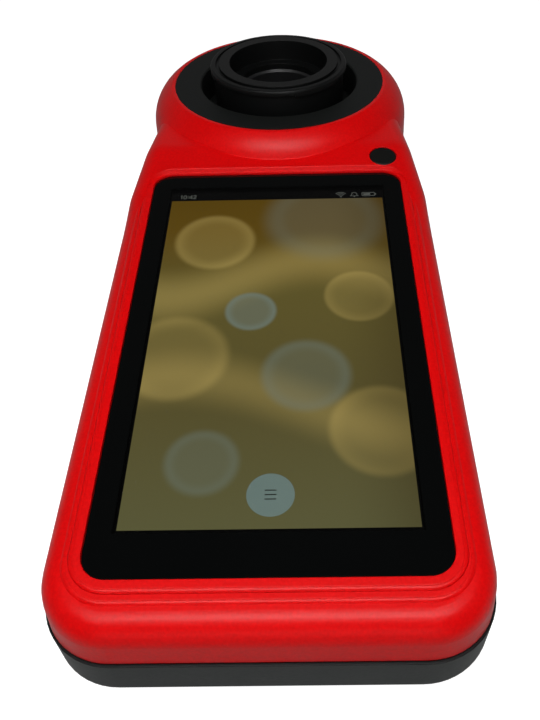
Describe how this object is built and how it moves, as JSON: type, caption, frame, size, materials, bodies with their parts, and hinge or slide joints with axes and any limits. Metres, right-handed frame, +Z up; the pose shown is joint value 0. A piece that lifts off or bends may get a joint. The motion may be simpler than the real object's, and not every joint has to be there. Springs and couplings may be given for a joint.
{
  "type": "portable photometer",
  "caption": "Hand-held wedge-shaped photometer with a sloping touch display and a round head whose bayonet collar takes a sample vial.",
  "frame": {"origin": "centre of the bounding box on the plane the feet stand on", "axes": "+Y towards the round head, +X to the right as the display is read, +Z up"},
  "size_m": [0.0926, 0.2304, 0.05],
  "materials": {
    "red_shell": "fine grained moulding, satin",
    "charcoal_case": "fine grained moulding, matte",
    "black_rubber": "matte",
    "screw_steel": "zinc plated",
    "insert_brass": "turned",
    "cover_glass": "polished, printed border",
    "display_screen": "lit picture under the glass",
    "stamped_steel": "stamped",
    "white_nylon": "moulded",
    "board_green": "solder mask",
    "shield_can": "satin",
    "amber_film": "smooth film",
    "battery_wrap": "smooth wrap",
    "grey_foam": "foam",
    "button_cap": "fine grained, matte",
    "black_plastic": "matte",
    "grey_ring": "fine grained, matte",
    "black_collar": "satin",
    "clear_glass": "polished",
    "filter_glass": "polished, tinted",
    "clear_lens": "moulded lens",
    "detector_can": "plated can"
  },
  "bodies": {
    "case": {"upper_shell": "red_shell", "base_shell": "charcoal_case", "parting_seal": "black_rubber", "rubber_feet": "black_rubber", "case_screws": "screw_steel", "thread_inserts": "insert_brass", "touch_glass": "cover_glass", "glass_adhesive": "black_rubber", "display_panel": "display_screen", "display_backplate": "stamped_steel", "board_spacers": "white_nylon", "main_board": "board_green", "processor_module": "shield_can", "display_ribbon": "amber_film", "battery_pack": "battery_wrap", "battery_pad": "grey_foam", "power_switch": "stamped_steel", "charge_socket": "stamped_steel", "head_ring": "grey_ring", "vial_collar": "black_collar", "collar_gasket": "black_rubber", "vial_well": "black_plastic", "optics_block": "black_plastic", "sample_windows": "clear_glass", "light_filters": "filter_glass", "light_emitters": "clear_lens", "light_detectors": "detector_can", "optics_board": "board_green", "optics_screws": "screw_steel"},
    "button": {"power_button": "button_cap", "switch_plunger": "black_plastic"},
    "flap": {"port_flap": "black_rubber"}
  },
  "joints": [
    {"name": "button_press", "type": "slide", "parent": "case", "child": "button", "axis": [0, 0.18, -0.9837], "range_m": [0, 0.0006], "stiffness_N_per_m": 800, "springref_m": -0.001},
    {"name": "flap_hinge", "type": "hinge", "parent": "case", "child": "flap", "pos_m": [-0.0443, -0.01373, 0.01655], "axis": [0, -0.9964, -0.0849], "range_deg": [0, 90], "stiffness_Nm_per_rad": 0.002}
  ]
}
